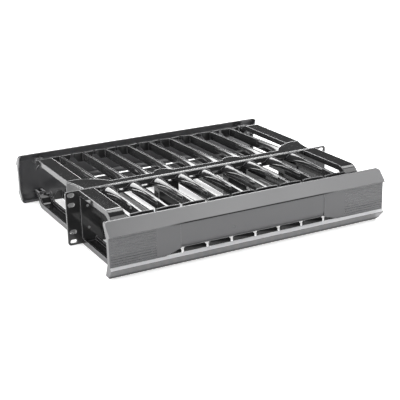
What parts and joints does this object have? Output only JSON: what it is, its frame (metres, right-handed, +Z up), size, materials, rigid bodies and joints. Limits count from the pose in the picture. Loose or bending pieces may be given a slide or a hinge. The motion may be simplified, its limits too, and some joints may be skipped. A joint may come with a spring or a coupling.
{
  "type": "horizontal cable manager",
  "caption": "Two-unit horizontal rack cable manager with rows of fingers at front and rear, pass-through windows and a hinged cover on each side.",
  "frame": {"origin": "centre of the rack ears' front plane, half way between the ears and half way up", "axes": "+X along the width to the right seen from the front, +Y to the rear of the rack, +Z up"},
  "size_m": [0.4826, 0.426, 0.0882],
  "materials": {
    "black_plastic": "glossy moulded plastic",
    "cover_plastic": "satin moulded plastic",
    "pin_steel": "bright steel",
    "screw_steel": "zinc plated"
  },
  "bodies": {
    "frame": {"mounting_panel": "black_plastic", "front_top_comb": "black_plastic", "front_bottom_comb": "black_plastic", "rear_top_comb": "black_plastic", "rear_bottom_comb": "black_plastic", "left_post": "black_plastic", "right_post": "black_plastic", "left_end_guide": "black_plastic", "right_end_guide": "black_plastic", "front_left_bracket": "black_plastic", "front_right_bracket": "black_plastic", "rear_left_bracket": "black_plastic", "rear_right_bracket": "black_plastic", "frame_screws": "screw_steel"},
    "front_cover": {"front_cover": "cover_plastic", "front_top_left_pin": "pin_steel", "front_top_right_pin": "pin_steel", "front_bottom_left_pin": "pin_steel", "front_bottom_right_pin": "pin_steel"},
    "rear_cover": {"rear_cover": "cover_plastic", "rear_top_left_pin": "pin_steel", "rear_top_right_pin": "pin_steel", "rear_bottom_left_pin": "pin_steel", "rear_bottom_right_pin": "pin_steel"}
  },
  "joints": [
    {"name": "front_cover_hinge", "type": "hinge", "parent": "frame", "child": "front_cover", "pos_m": [0, -0.146, 0.031], "axis": [-1, 0, 0], "range_deg": [0, 115]},
    {"name": "rear_cover_hinge", "type": "hinge", "parent": "frame", "child": "rear_cover", "pos_m": [0, 0.232, 0.031], "axis": [1, 0, 0], "range_deg": [0, 115]}
  ]
}
